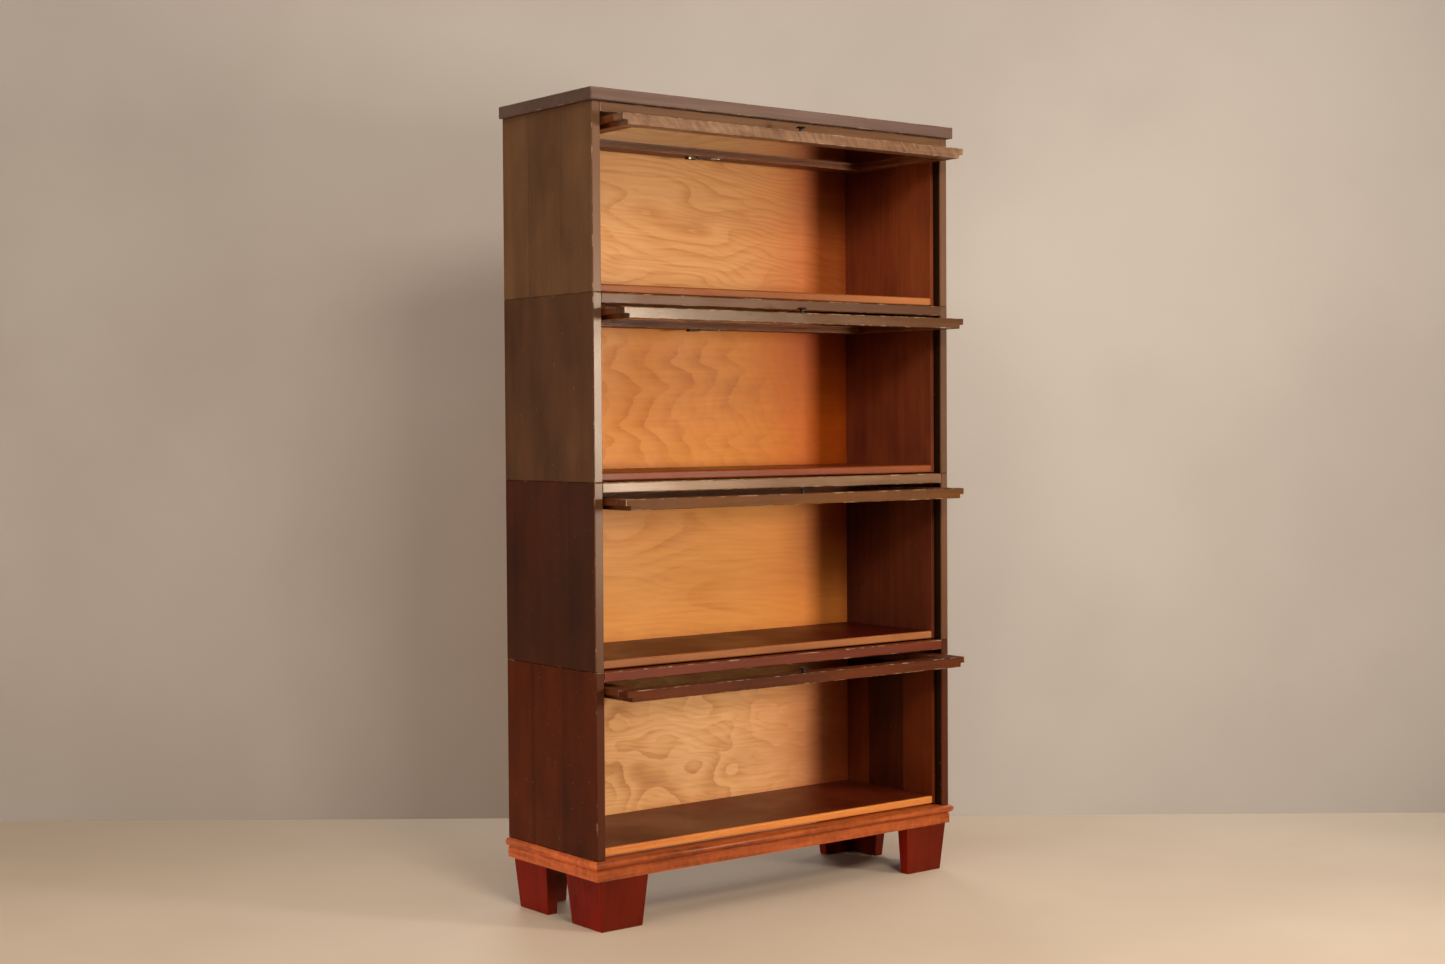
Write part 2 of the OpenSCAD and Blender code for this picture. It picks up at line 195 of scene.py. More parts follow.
class Wood:
    """The grain of one piece of wood: values around 0.5 that its colours, gloss and bump are made from.

    grain is the axis it runs along. It wanders within a width of bend. Sizes are across the grain.
    """

    def __init__(self, shader, grain, seed, streak_size, blotch_size=0.16, bend=0.012):
        self.shader = shader
        self.place = offset_of(seed)
        self.grain = grain
        drift = shader.noise(shader.stretch(along(grain, DRIFT_ALONG, DRIFT_ACROSS), self.place), detail=1.5)
        shift = shader.calc("MULTIPLY", shader.calc("SUBTRACT", drift, 0.5), bend)
        moved = shader.add("ShaderNodeCombineXYZ", {0: shift, 1: shift, 2: shift}).outputs[0]
        both = {0: shader.place, 1: moved}
        self.bent = shader.add("ShaderNodeVectorMath", both, operation="ADD").outputs[0]
        blotches = self.at(along(grain, BLOTCH_SHARE / blotch_size, 1 / blotch_size))
        streaks = self.at(along(grain, STREAK_SHARE / streak_size, 1 / streak_size))
        fibres = self.at(along(grain, FIBRE_ALONG, FIBRE_ACROSS))
        self.blotch = shader.noise(blotches, detail=3.0)
        self.streak = shader.noise(streaks, detail=3.0, roughness=0.6)
        self.fibre = shader.noise(fibres, detail=2.0, roughness=0.6)

    def at(self, scale, source=None):
        """The point in the bent grain, or source, scaled and moved to this piece's place in the noise."""
        return self.shader.stretch(scale, self.place, source or self.bent)

    def rings(self, size_x, size_z, count, start, detail, slope_x, slope_z):
        """Growth rings as lines that are darkest at 1, from the share start of each gap between them.

        They are contours of a noise of the given sizes, count of them over its range. The slopes add lines
        per metre, which makes them run across the panel.
        """
        shader = self.shader
        field = shader.noise(self.at((1 / size_x, 1 / size_z, 1 / size_z)), detail=detail, roughness=0.45)
        feather = shader.noise(self.at(FEATHER_SCALE), detail=2.0)
        phase = shader.total((field, count), (shader.x, slope_x), (shader.z, slope_z), (feather, FEATHER))
        wave = shader.calc("FRACT", phase)
        rise = shader.remap(wave, start, RING_PEAK, kind="LINEAR")
        fall = shader.remap(wave, RING_PEAK, 1.0, 1.0, 0.0, kind="LINEAR")
        return shader.product(rise, fall)

    def curl(self, size, across, slant=0.0):
        """Cross figure: short soft bars across the grain, leaning by slant radians about Y."""
        shader = self.shader
        source = self.bent
        if slant:
            turn = {"Vector": source, "Axis": (0, 1, 0), "Angle": slant}
            source = shader.add("ShaderNodeVectorRotate", turn, rotation_type="AXIS_ANGLE").outputs[0]
        where = self.at(along(self.grain, 1 / size, 1 / across), source)
        return shader.noise(where, detail=1.5, distortion=0.6)


# ---------------------------------------------------------------- finishes


AMBER = (1.0, 0.86, 0.7, 1.0)  # tint of old varnish
VARNISH_IOR = 1.32
DULL_IOR = 1.25  # varnish gone dull, on the lower sections
FOOT_IOR = 1.22

RUBBED_SIDE = "b59a80"
RUBBED_RAIL = "c2a88c"
RUBBED_FOOT = "b57750"
RUBBED_MOULDING = "d29a70"
RUBBED_LIP = "d98a4c"
FLECK = "9a8368"
# near-black of a side's door recess and groove: dark-stained wood with painted shade
GROOVE_STAIN_AND_SHADE = "160d08"
# painted shade on a side's inner faces, towards the top and the back
PAINTED_INNER_SHADE = "8a6450"
PANEL_WARM = "e8ac87"
# painted shade in a back panel's upper right corner
PANEL_CORNER_SHADE = "9a6a4c"
# darkening of a back panel near its edges
PANEL_EDGE_DARK = "b06a3a"
PANE_SHADOW = (0.66, 0.69, 0.67, 1)  # what is left of the light that has passed through a pane


def varnish(shader, color, roughness, height, coat=0.06, coat_roughness=0.14, depth=0.0004, strength=0.4,
            ior=VARNISH_IOR):
    """Varnished wood: height makes its bump, and coat is the gloss of a thin film over it."""
    return shader.done(shader.principled(
        color, roughness, height, depth, strength, IOR=ior, Specular_Tint=AMBER, Coat_Weight=coat,
        Coat_Tint=AMBER, Coat_Roughness=coat_roughness))


def worn_edges(shader, low, high, seed, reach, amount, start=0.46, end=0.74, scale=38.0):
    """0 to amount where the finish is rubbed through: up to reach from the edges of the box, in patches."""
    patchy = shader.noise(shader.stretch(scale, offset_of(seed)), detail=4.0, roughness=0.65)
    width = shader.remap(patchy, start, end, 0.0002, reach, kind="LINEAR")
    share = shader.calc("DIVIDE", shader.edge_distance(low, high), width)
    bare = shader.calc("SUBTRACT", 1.0, share, clamp=True)
    return shader.remap(bare, 0.1, 0.75, 0.0, amount)


def boards_of(shader, low, high, stops, seam):
    """Tone of boards glued up along Y, from their (start share, level), and a thin line where they meet."""
    share = shader.remap(shader.y, low, high, kind="LINEAR")
    tone = shader.calc("SUBTRACT", shader.steps(share, stops), 0.5)
    line = None
    for position, _ in stops[1:]:
        away = shader.calc("ABSOLUTE", shader.calc("SUBTRACT", share, position))
        mark = shader.remap(away, 0.0, seam, 1.0, 0.0)
        line = mark if line is None else shader.calc("MAXIMUM", line, mark)
    return tone, line


INNER_START = 0.0205  # depth at which the compartment's finish starts, where the closed door's recess ends
SKIN = 0.0025  # how far inside a side's box a point has to be, to belong to an inner face
FRONT_FULL = 0.0005  # depth to which the front edge has its own colour, and where that colour has ended
FRONT_END = 0.003
CHANNEL_START = 0.002  # depth at which the near-black of the recess and the groove, dark-stained wood with painted shade, starts, and where it is full
CHANNEL_FULL = 0.004
SHADE_START = 0.24  # how far below the top of a section the painted shade on its inner faces starts, and where it is darkest
SHADE_FULL = 0.05
SHADE_NEAR = 0.3  # the same, in front of a section's back
SHADE_FAR = 0.1


def case_side(name, node, palette, inner_palette, edge_color, seed, boards, inner_boards, edge_sheen, ior):
    """A case side: dark varnish on the outer and front faces, and the compartment's orange finish inside,
    with painted shade on the inner faces towards the top and back, and a door recess made near-black by
    dark-stained wood and painted shade.
    """
    shader = Shader(name)
    low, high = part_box(node)
    wood = Wood(shader, "Z", seed, bend=0.03, blotch_size=0.1, streak_size=0.034)
    tone, seam = boards_of(shader, low.y, high.y, boards, 0.006)
    value = shader.total(
        -0.15, (wood.blotch, 0.8), (wood.streak, 0.4), (wood.fibre, 0.2), tone, (seam, -0.12))
    color = shader.ramp(value, palette)

    lining = Wood(shader, "Z", seed + 5, bend=0.02, blotch_size=0.09, streak_size=0.014)
    inner_tone, inner_seam = boards_of(shader, low.y, high.y, inner_boards, 0.005)
    inner_value = shader.total(
        -0.1, (lining.blotch, 0.6), (lining.streak, 0.4), (lining.fibre, 0.2), inner_tone, (inner_seam, -0.1))
    inner_color = shader.ramp(inner_value, inner_palette)
    # painted shade: the inner faces darken towards the top and towards the back of the section
    painted_shade_up = shader.remap(shader.z, high.z - SHADE_START, high.z - SHADE_FULL)
    painted_shade_back = shader.remap(shader.y, high.y - SHADE_NEAR, high.y - SHADE_FAR, 0.3, 0.85)
    shade = shader.product(painted_shade_up, painted_shade_back)
    inner_color = shader.mix(shade, inner_color, linear(PAINTED_INNER_SHADE), blend="MULTIPLY")

    outer_x = max(-low.x, high.x)
    inside = shader.calc("LESS_THAN", shader.calc("ABSOLUTE", shader.x), outer_x - SKIN)
    face = shader.product(
        inside,
        shader.calc("GREATER_THAN", shader.y, low.y + INNER_START),
        shader.calc("GREATER_THAN", shader.z, low.z + SKIN),
        shader.calc("LESS_THAN", shader.z, high.z - SKIN),
    )
    color = shader.mix(face, color, inner_color)
    # the door recess and the groove go near-black: dark-stained wood with painted shade
    behind = shader.remap(shader.y, low.y + CHANNEL_START, low.y + CHANNEL_FULL)
    channel_stain_and_shade = shader.product(inside, behind, shader.calc("SUBTRACT", 1.0, face))
    color = shader.mix(channel_stain_and_shade, color, linear(GROOVE_STAIN_AND_SHADE))

    front = shader.remap(shader.y, low.y + FRONT_FULL, low.y + FRONT_END, 1.0, 0.0)
    pale = shader.remap(wood.streak, 0.3, 0.7, 0.55, 0.95)
    color = shader.mix(shader.product(front, pale), color, linear(edge_color))
    worn = worn_edges(shader, low, high, seed + 2, 0.0045, 0.6, start=0.52, end=0.8)
    color = shader.mix(worn, color, linear(RUBBED_SIDE))
    speck = shader.noise(shader.stretch(260, offset_of(seed + 3)), detail=0.0)
    color = shader.mix(shader.remap(speck, 0.83, 0.86, 0.0, 0.45), color, linear(FLECK))

    cloud = shader.noise(shader.stretch((6, 6, 3), offset_of(seed + 1)), detail=3.0)
    satin = shader.total(shader.remap(cloud, 0.3, 0.7, 0.36, 0.48), (wood.streak, 0.05), (worn, 0.1))
    roughness = shader.total(satin, (front, edge_sheen))
    height = shader.total((wood.fibre, 0.25), (wood.streak, 0.3), (worn, -0.5), (seam, -0.6))
    return varnish(shader, color, roughness, height, coat=0.04, coat_roughness=0.2, strength=0.3, ior=ior)


RAIL_WEAR_REACH = 0.004
CURL_SIZE = 0.009
CURL_ACROSS = 0.03


def dark_rail(name, node, grain, palette, seed, tone=0.6, curl=0.0, slant=0.0, gloss=(0.24, 0.36), wear=0.55,
              dull=False):
    """Aged brown varnish on rails, stiles and the cap. gloss is the range of its roughness."""
    shader = Shader(name)
    low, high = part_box(node)
    wood = Wood(shader, grain, seed, streak_size=0.009)
    streak, fibre = 0.6, 0.2
    middle = 0.5 - 0.5 * (tone + streak + fibre + curl)
    terms = [middle, (wood.blotch, tone), (wood.streak, streak), (wood.fibre, fibre)]
    if curl:
        bars = wood.curl(CURL_SIZE, CURL_ACROSS, slant)
        terms.append((bars, curl))
    color = shader.ramp(shader.total(*terms), palette)
    worn = worn_edges(shader, low, high, seed + 2, RAIL_WEAR_REACH, wear)
    color = shader.mix(worn, color, linear(RUBBED_RAIL))
    cloud = shader.noise(shader.stretch(9, offset_of(seed + 1)), detail=3.0)
    roughness = shader.total(shader.remap(cloud, 0.3, 0.7, *gloss), (wood.streak, 0.06), (worn, 0.12))
    height = shader.total((wood.fibre, 0.25), (wood.streak, 0.35), (worn, -0.5))
    if curl:
        height = shader.total(height, (bars, curl))
    if dull:
        return varnish(shader, color, roughness, height, coat=0.0, ior=DULL_IOR)
    return varnish(shader, color, roughness, height)


FADE_START = 0.4  # how far from a panel's left end its broad rings start to fade, and are faintest
FADE_END = 0.7
WARM_START = 0.05  # how far right of the middle a panel starts to redden, and is reddest
WARM_FULL = 0.36
CORNER_SHADE_START = 0.2  # the same for the painted shade in its upper right corner
CORNER_SHADE_FULL = 0.38


def back_panel(name, node, palette, seed, rings, fine, corner, warmth):
    """Rotary-cut birch ply, redder to the right, with painted shade in its upper right corner.

    rings and fine are two sets of growth rings: a strength, then what Wood.rings asks for.
    """
    shader = Shader(name)
    low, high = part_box(node)
    wood = Wood(shader, "X", seed, bend=0.03, blotch_size=0.2, streak_size=0.008)
    patch = shader.noise(shader.stretch((5, 5, 9), offset_of(seed + 4)), detail=2.0)
    fade = shader.remap(shader.x, low.x + FADE_START, low.x + FADE_END, 1.0, 0.3)
    line = shader.product(wood.rings(*rings[1:]), fade, shader.remap(patch, 0.34, 0.6, 0.2, 1.0))
    thin = shader.product(wood.rings(*fine[1:]), shader.remap(patch, 0.4, 0.66, 1.0, 0.3))
    wash = shader.noise(shader.stretch((2.0, 2.0, 4.0), offset_of(seed + 3)), detail=4.0, roughness=0.55)
    value = shader.total(
        -0.15, (wood.blotch, 0.5), (wash, 0.35), (wood.streak, 0.3), (wood.fibre, 0.15), (line, -rings[0]),
        (thin, -fine[0]))
    color = shader.ramp(value, palette)
    across = shader.total(shader.x, (shader.calc("SUBTRACT", wash, 0.5), 0.3))
    redder = shader.remap(across, WARM_START, WARM_FULL, 0.0, warmth)
    color = shader.mix(redder, color, linear(PANEL_WARM), blend="MULTIPLY")
    # painted shade in the upper right corner of the panel
    end, full, most = corner
    corner_shade_x = shader.remap(shader.x, CORNER_SHADE_START, CORNER_SHADE_FULL)
    corner_shade_z = shader.remap(shader.z, high.z - end, high.z - full, 0.0, most)
    corner_shade = shader.product(corner_shade_x, corner_shade_z)
    color = shader.mix(corner_shade, color, linear(PANEL_CORNER_SHADE), blend="MULTIPLY")
    # the panel darkens within a few centimetres of its edges
    rim_noise = shader.noise(shader.stretch(20, offset_of(seed + 2)), detail=4.0)
    rim_dark = shader.remap(shader.total(shader.edge_distance(low, high), (rim_noise, 0.03)), 0.02, 0.055, 0.35, 0.0)
    color = shader.mix(rim_dark, color, linear(PANEL_EDGE_DARK), blend="MULTIPLY")
    sheen = shader.noise(shader.stretch(5, offset_of(seed + 1)), detail=3.0)
    roughness = shader.total(shader.remap(sheen, 0.3, 0.7, 0.34, 0.46), (wood.fibre, 0.06), (line, 0.06))
    height = shader.total((wood.fibre, 0.3), (wood.streak, 0.3), (line, -0.3))
    return varnish(
        shader, color, roughness, height, coat=0.03, coat_roughness=0.25, depth=0.0003, strength=0.3)


LIP_FULL = 0.0035  # depth to which a shelf's front edge has its own colour, and where that colour has ended
LIP_END = 0.006


def shelf_board(name, node, palette, lip_palette, seed, rubbed):
    """A shelf: a brown top with stained streaks, darker than its front edge partly as painted shade, and a
    lighter, flecked front edge that is rubbed towards the right.
    """
    shader = Shader(name)
    low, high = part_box(node)
    wood = Wood(shader, "X", seed, bend=0.03, blotch_size=0.15, streak_size=0.012)
    smears = shader.stretch((14, 5, 14), offset_of(seed + 3), wood.bent)
    smear = shader.noise(smears, detail=3.0, distortion=0.8)
    value = shader.total(-0.45, (wood.blotch, 0.6), (wood.streak, 0.5), (wood.fibre, 0.2), (smear, 0.6))
    color = shader.ramp(value, palette)
    fleck = shader.noise(shader.stretch((120, 600, 600), offset_of(seed + 4)), detail=2.0)
    flecked = shader.remap(fleck, 0.6, 0.75)
    lip_value = shader.total(
        -0.45, (wood.blotch, 0.7), (wood.streak, 0.9), (wood.fibre, 0.3), (flecked, -0.35))
    lip_color = shader.ramp(lip_value, lip_palette)
    bare = shader.product(shader.remap(shader.x, 0.0, high.x), rubbed)
    lip_color = shader.mix(bare, lip_color, linear(RUBBED_LIP))
    # the front edge takes the lighter colours; the darker top is partly painted shade
    front = shader.remap(shader.y, low.y + LIP_FULL, low.y + LIP_END, 1.0, 0.0)
    color = shader.mix(front, color, lip_color)
    sheen = shader.noise(shader.stretch(6, offset_of(seed + 1)), detail=3.0)
    roughness = shader.total(shader.remap(sheen, 0.3, 0.7, 0.34, 0.48), (wood.fibre, 0.06))
    height = shader.total((wood.fibre, 0.3), (wood.streak, 0.4), (fleck, 0.2))
    return varnish(
        shader, color, roughness, height, coat=0.03, coat_roughness=0.22, depth=0.0003, strength=0.35)


def glass():
    """A clear old pane, a little rippled and dusty, that still lets light through to the shelf below."""
    shader = Shader("door_glass")
    haze = shader.noise(shader.stretch(6, offset_of(71)), detail=4.0)
    grit = shader.noise(shader.stretch(900, offset_of(72)), detail=1.0)
    roughness = shader.total(shader.remap(haze, 0.4, 0.75, 0.01, 0.05), (shader.remap(grit, 0.68, 0.8), 0.05))
    ripple = shader.noise(shader.stretch(9, offset_of(73)), detail=0.0)
    tint = shader.mix(shader.remap(haze, 0.3, 0.7), linear("eef6f2"), linear("e3eeea"))
    pane = shader.principled(tint, roughness, ripple, strength=0.2, Transmission_Weight=1.0, IOR=1.5)
    clear = shader.add("ShaderNodeBsdfTransparent", {"Color": PANE_SHADOW}).outputs[0]
    shadow = shader.add("ShaderNodeLightPath").outputs["Is Shadow Ray"]
    return shader.done(shader.add("ShaderNodeMixShader", {0: shadow, 1: pane, 2: clear}).outputs[0])


def steel():
    """Plated steel, brushed along X and tarnished in patches."""
    shader = Shader("plated_steel")
    blotch = shader.noise(shader.stretch(60, offset_of(81)), detail=5.0, roughness=0.65)
    brushed = shader.noise(shader.stretch((60, 1500, 1500), offset_of(82)), detail=2.0)
    tarnish = shader.remap(blotch, 0.34, 0.5)
    color = shader.mix(tarnish, shader.ramp(brushed, ((0.2, "8f887b"), (0.8, "b5ad9d"))), linear("3a2f27"))
    roughness = shader.total(0.26, (tarnish, 0.3), (brushed, 0.1))
    metal = shader.total(1.0, (tarnish, -0.4))
    height = shader.total((brushed, 0.4), (blotch, 0.8))
    return shader.done(shader.principled(color, roughness, height, depth=0.0002, Metallic=metal))


def dark_metal():
    """A knob's dark lacquer, worn through to the metal in spots."""
    shader = Shader("dark_knob_lacquer")
    blotch = shader.noise(shader.stretch(180, offset_of(91)), detail=4.0, roughness=0.6)
    worn = shader.remap(blotch, 0.58, 0.72)
    color = shader.mix(worn, shader.ramp(blotch, ((0.25, "100b08"), (0.75, "261b14"))), linear("6e5a41"))
    roughness = shader.total(0.24, (blotch, 0.25))
    metal = shader.total(0.35, (worn, 0.5))
    return shader.done(shader.principled(color, roughness, blotch, depth=0.0002, Metallic=metal))


FOOT_TAPER = 0.008  # how far a foot's outer faces lean in, top to bottom
FOOT_SIDE_FULL = 0.0004  # depth to which those that face left and right have their own colour, brighter and redder, partly painted light
FOOT_SIDE_END = 0.0012  # and where that colour has ended
FOOT_FRONT = ((0.05, "370702"), (0.4, "561305"), (0.7, "671906"), (0.95, "762108"))
# the faces that point left and right: brighter and redder, partly painted light
FOOT_SIDE_PAINTED_LIGHT = ((0.05, "4f0601"), (0.4, "7c1001"), (0.7, "921702"), (0.95, "a42003"))


def foot(name, node, seed):
    """A foot's red-brown varnish, chipped at the edges, and brighter and redder on the faces that point left
    and right, partly as painted light.
    """
    shader = Shader(name)
    low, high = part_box(node)
    wood = Wood(shader, "Z", seed, streak_size=0.012, blotch_size=0.07)
    value = shader.total(-0.35, (wood.blotch, 0.9), (wood.streak, 0.6), (wood.fibre, 0.2))
    from_left = shader.calc("SUBTRACT", shader.x, low.x)
    from_right = shader.calc("SUBTRACT", high.x, shader.x)
    inset = shader.calc("MINIMUM", from_left, from_right)
    lean = shader.remap(shader.z, 0.0, high.z, FOOT_TAPER, 0.0, kind="LINEAR")
    depth = shader.calc("SUBTRACT", inset, lean)
    # partly painted light: the faces that point left and right take the brighter, redder colours
    outer = shader.remap(depth, FOOT_SIDE_FULL, FOOT_SIDE_END, 1.0, 0.0)
    color = shader.mix(outer, shader.ramp(value, FOOT_FRONT), shader.ramp(value, FOOT_SIDE_PAINTED_LIGHT))
    worn = worn_edges(shader, low, high, seed + 2, 0.005, 0.75, start=0.56, end=0.8, scale=90.0)
    color = shader.mix(worn, color, linear(RUBBED_FOOT))
    satin = shader.remap(wood.blotch, 0.3, 0.7, 0.24, 0.36)
    roughness = shader.total(satin, (wood.fibre, 0.06), (worn, 0.25))
    height = shader.total((wood.fibre, 0.3), (wood.streak, 0.4), (worn, -0.8))
    return varnish(shader, color, roughness, height, coat=0.0, ior=FOOT_IOR)


def moulding(name, node, grain, seed, palette):
    """The base's red-brown mouldings, with a rippled figure."""
    shader = Shader(name)
    low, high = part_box(node)
    wood = Wood(shader, grain, seed, streak_size=0.008, blotch_size=0.09)
    ripple = wood.curl(0.012, 0.02)
    value = shader.total(-0.75, (wood.blotch, 0.6), (wood.streak, 0.95), (wood.fibre, 0.35), (ripple, 0.6))
    color = shader.ramp(value, palette)
    worn = worn_edges(shader, low, high, seed + 2, 0.004, 0.5, scale=50.0)
    color = shader.mix(worn, color, linear(RUBBED_MOULDING))
    roughness = shader.total(shader.remap(wood.blotch, 0.3, 0.7, 0.28, 0.42), (wood.fibre, 0.06))
    height = shader.total((wood.fibre, 0.3), (wood.streak, 0.5), (ripple, 0.3))
    return varnish(shader, color, roughness, height, coat=0.05, coat_roughness=0.16)


def dowel_wood():
    """Bare birch, for the hidden dowels."""
    shader = Shader("dowel_birch")
    wood = Wood(shader, "Z", 790, blotch_size=0.02, streak_size=0.003)
    value = shader.total(-0.4, (wood.blotch, 0.7), (wood.streak, 0.7), (wood.fibre, 0.4))
    color = shader.ramp(value, ((0.0, "a9793f"), (0.5, "c79a5e"), (1.0, "ddb67c")))
    roughness = shader.total(0.5, (wood.fibre, 0.15))
    return shader.done(shader.principled(color, roughness, wood.fibre, depth=0.0002))


def dress(node, material):
    """Gives a CAD node its material in place of the one it came with."""
    piece = nodes[node]
    piece.data.materials.clear()
    piece.data.materials.append(material)


# ---------------------------------------------------------------- colours, by section from the top


# A palette is (value of the grain, colour) stops
SIDE = {
    1: ((0.0, "402817"), (0.35, "5d3f29"), (0.65, "745134"), (1.0, "886343")),
    2: ((0.0, "311b0f"), (0.35, "4e2f1c"), (0.65, "623f28"), (1.0, "785136")),
    3: ((0.0, "1f0802"), (0.35, "351203"), (0.65, "4a1d07"), (1.0, "5c270c")),
    4: ((0.0, "220801"), (0.35, "411401"), (0.65, "5c2003"), (1.0, "712c05")),
}
CAP = ((0.0, "44322c"), (0.35, "5f4940"), (0.65, "6e574f"), (1.0, "816b62"))
RAIL = {
    1: ((0.0, "3e2513"), (0.35, "5e3e27"), (0.65, "735036"), (1.0, "8c6849")),
    2: ((0.0, "321708"), (0.35, "4b2916"), (0.65, "5b361f"), (1.0, "70472a")),
    3: ((0.0, "492f1b"), (0.35, "6d4d36"), (0.65, "846247"), (1.0, "a17c60")),
    4: ((0.0, "380e03"), (0.35, "5a1f0a"), (0.65, "6f2b11"), (1.0, "863a1a")),
}
DOOR = {
    1: ((0.0, "462c1b"), (0.35, "674733"), (0.65, "7d5d46"), (1.0, "93745c")),
    2: ((0.0, "311a0b"), (0.35, "492d18"), (0.65, "5a3b25"), (1.0, "6e4d32")),
    3: ((0.0, "2e1505"), (0.35, "4e2c0f"), (0.65, "633914"), (1.0, "794d1f")),
    4: ((0.0, "250901"), (0.35, "441902"), (0.65, "5d2502"), (1.0, "743307")),
}
PANEL = {
    1: ((0.0, "9b5d2d"), (0.35, "c3854a"), (0.65, "d79e64"), (1.0, "e8b884")),
    2: ((0.0, "974c0f"), (0.35, "bd6e1b"), (0.65, "ce8127"), (1.0, "df9936")),
    3: ((0.0, "a25a22"), (0.35, "ce8439"), (0.65, "e09849"), (1.0, "f1af5f")),
    4: ((0.0, "b97642"), (0.35, "e5a76a"), (0.65, "fac48b"), (1.0, "ffe3b5")),
}
# A back panel's growth rings: strength, size along X and Z, count, start, detail, slope along X and Z
RINGS = {
    1: (0.21, 0.30, 0.09, 7.0, 0.5, 1.0, 3.0, 34.0),
    2: (0.20, 0.30, 0.05, 2.6, 0.3, 1.0, 15.0, 2.0),
    3: (0.14, 0.40, 0.12, 7.0, 0.4, 1.0, 2.0, 20.0),
    4: (0.30, 0.15, 0.09, 6.0, 0.2, 1.6, 5.0, 3.0),
}
FINE_RINGS = {
    1: (0.15, 0.22, 0.05, 6.0, 0.5, 1.0, 10.0, 90.0),
    2: (0.05, 0.25, 0.06, 4.0, 0.4, 1.0, 34.0, 12.0),
    3: (0.08, 0.30, 0.08, 6.0, 0.4, 1.0, 6.0, 70.0),
    4: (0.12, 0.16, 0.04, 6.0, 0.4, 1.5, 14.0, 80.0),
}
# A back panel's painted shade in its upper right corner: how far below the top it ends and how far it is
# full, and its strength
CORNER = {
    1: (0.26, 0.06, 0.85),
    2: (0.17, 0.05, 0.6),
    3: (0.3, 0.1, 1.0),
    4: (0.6, 0.3, 1.0),
}
# Where each board of a side starts, as a share of the side's depth, and its tone
BOARDS = {
    1: ((0.0, 0.5), (0.33, 0.46), (0.7, 0.54)),
    2: ((0.0, 0.5), (0.4, 0.46)),
    3: ((0.0, 0.45), (0.28, 0.55), (0.62, 0.48)),
    4: ((0.0, 0.4), (0.37, 0.56), (0.68, 0.4), (0.72, 0.58)),
}
INNER_BOARDS = {
    1: ((0.0, 0.6), (0.45, 0.52)),
    2: ((0.0, 0.45), (0.5, 0.49)),
    3: ((0.0, 0.52), (0.5, 0.44)),
    4: ((0.0, 0.72), (0.36, 0.25), (0.72, 0.68)),
}
DOOR_FRAME = ((0.0, "321608"), (0.35, "532811"), (0.65, "6f3819"), (1.0, "8c4c25"))
INNER = {
    1: ((0.0, "3a150d"), (0.3, "723723"), (0.6, "9e502e"), (1.0, "cd7243")),
    2: ((0.0, "37160f"), (0.3, "6d3525"), (0.6, "974f2f"), (1.0, "c46f47")),
    3: ((0.0, "270d08"), (0.3, "50251b"), (0.6, "713725"), (1.0, "935037")),
    4: ((0.0, "230802"), (0.3, "491b0a"), (0.6, "67290f"), (1.0, "853d1a")),
}
# a shelf's top: darker than its front edge, partly painted shade
SHELF = {
    1: ((0.0, "401a07"), (0.35, "672d10"), (0.65, "813e17"), (1.0, "9f5424")),
    2: ((0.0, "3e1707"), (0.35, "642a0e"), (0.65, "7d3916"), (1.0, "9b4e22")),
    3: ((0.0, "250201"), (0.35, "400601"), (0.65, "500902"), (1.0, "651204")),
    4: ((0.0, "310c03"), (0.35, "521a08"), (0.65, "68240e"), (1.0, "803217")),
}
LIP = {
    1: ((0.0, "522105"), (0.35, "70350e"), (0.65, "834314"), (1.0, "95531d")),
    2: ((0.0, "481603"), (0.35, "6b290a"), (0.65, "7f3410"), (1.0, "974417")),
    3: ((0.0, "63351b"), (0.35, "874e2a"), (0.65, "9c5f33"), (1.0, "ad7148")),
    4: ((0.0, "964f24"), (0.35, "ca7436"), (0.65, "d88b44"), (1.0, "d8a65c")),
}
BASE_FRONT = ((0.0, "531f06"), (0.35, "893e19"), (0.6, "a44d20"), (1.0, "bf642f"))
# the side mouldings: brighter and redder than the front, partly painted light
BASE_SIDE_PAINTED_LIGHT = ((0.0, "833b1b"), (0.35, "c56035"), (0.6, "e97740"), (1.0, "ff955c"))

# Finish of each section
FRONT_EDGE = {1: "664634", 2: "594030", 3: "64432e", 4: "48200f"}
EDGE_SHEEN = {1: -0.1, 2: -0.12, 3: -0.1, 4: 0.04}  # added to the roughness of a side's front edge
SIDE_IOR = {1: VARNISH_IOR, 2: VARNISH_IOR, 3: VARNISH_IOR, 4: DULL_IOR}
RAIL_GLOSS = {1: (0.26, 0.38), 2: (0.34, 0.46), 3: (0.2, 0.3), 4: (0.36, 0.46)}  # range of roughness
DOOR_GLOSS = {1: (0.3, 0.42), 2: (0.2, 0.3), 3: (0.44, 0.52), 4: (0.42, 0.5)}  # of a door's front rail
PANEL_WARMTH = {1: 1.0, 2: 1.0, 3: 0.5, 4: 0.5}  # how much a back panel reddens to the right
LIP_RUBBED = {1: 0.4, 2: 0.1, 3: 0.1, 4: 0.1}  # how pale a shelf's front edge gets to the right
DOOR_CURL = {1: 0.9, 2: 0.2, 3: 0.2, 4: 0.2}  # strength of the cross figure in a door's front rail
DOOR_SLANT = {1: 0.6, 2: 0.0, 3: 0.0, 4: 0.0}  # how it leans, in radians
DULL_DOORS = (3, 4)

